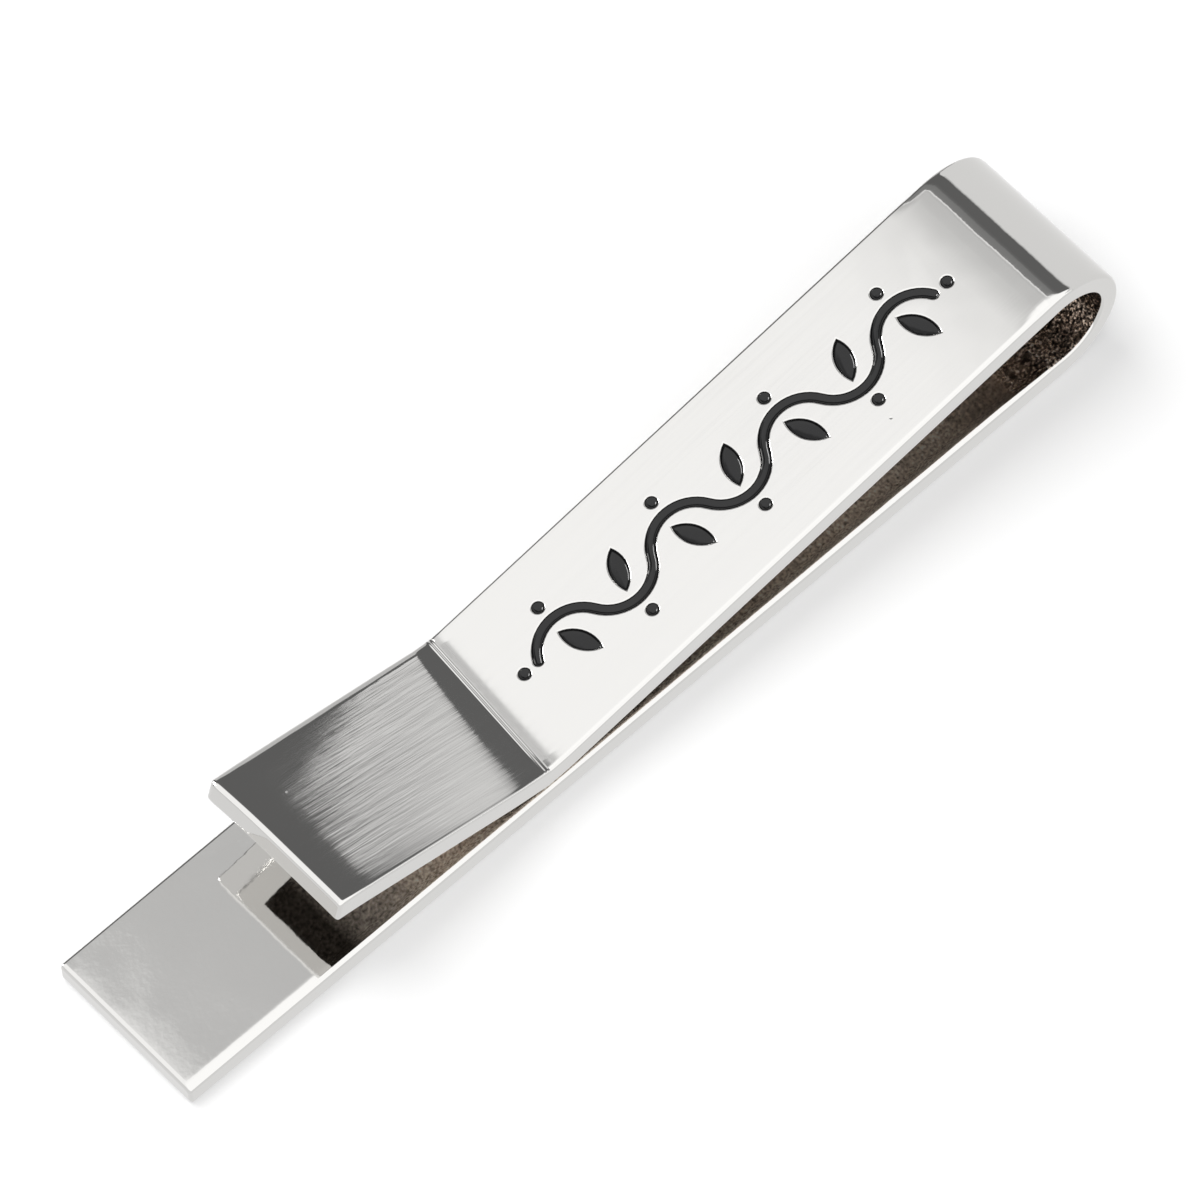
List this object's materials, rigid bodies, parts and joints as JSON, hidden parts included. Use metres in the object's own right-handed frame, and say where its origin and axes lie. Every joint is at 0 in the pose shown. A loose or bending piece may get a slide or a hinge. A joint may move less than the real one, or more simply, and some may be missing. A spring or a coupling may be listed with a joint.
{
  "type": "tie clip",
  "caption": "Slide-on tie clip: a polished metal strip folded into a sprung hairpin that pinches at a crease, with a flared lead-in lip and a black enamel vine on its satin face.",
  "frame": {"origin": "middle of the clip's length and width, on the plane that the back leg lies on", "axes": "+X along the clip towards the bow, +Y across the strip, +Z from the back leg up to the front leg"},
  "size_m": [0.059, 0.009, 0.0076],
  "materials": {
    "polished_plate": "mirror-polished nickel plate over brass",
    "satin_plate": "fine satin nickel plate over brass, brushed along the strip",
    "black_enamel": "gloss black enamel, domed in its recesses"
  },
  "bodies": {
    "back": {"back_plate": "polished_plate", "spring_bow": "polished_plate"},
    "front": {"front_plate": "satin_plate", "lead_in_lip": "polished_plate", "enamel_vine": "black_enamel", "enamel_leaves": "black_enamel", "enamel_berries": "black_enamel"}
  },
  "joints": [
    {"name": "spring_open", "type": "hinge", "parent": "back", "child": "front", "pos_m": [0.02779, 0, 0.0038], "axis": [0, 1, 0], "range_deg": [0, 5], "stiffness_Nm_per_rad": 5, "deforming": ["spring_bow"]}
  ]
}
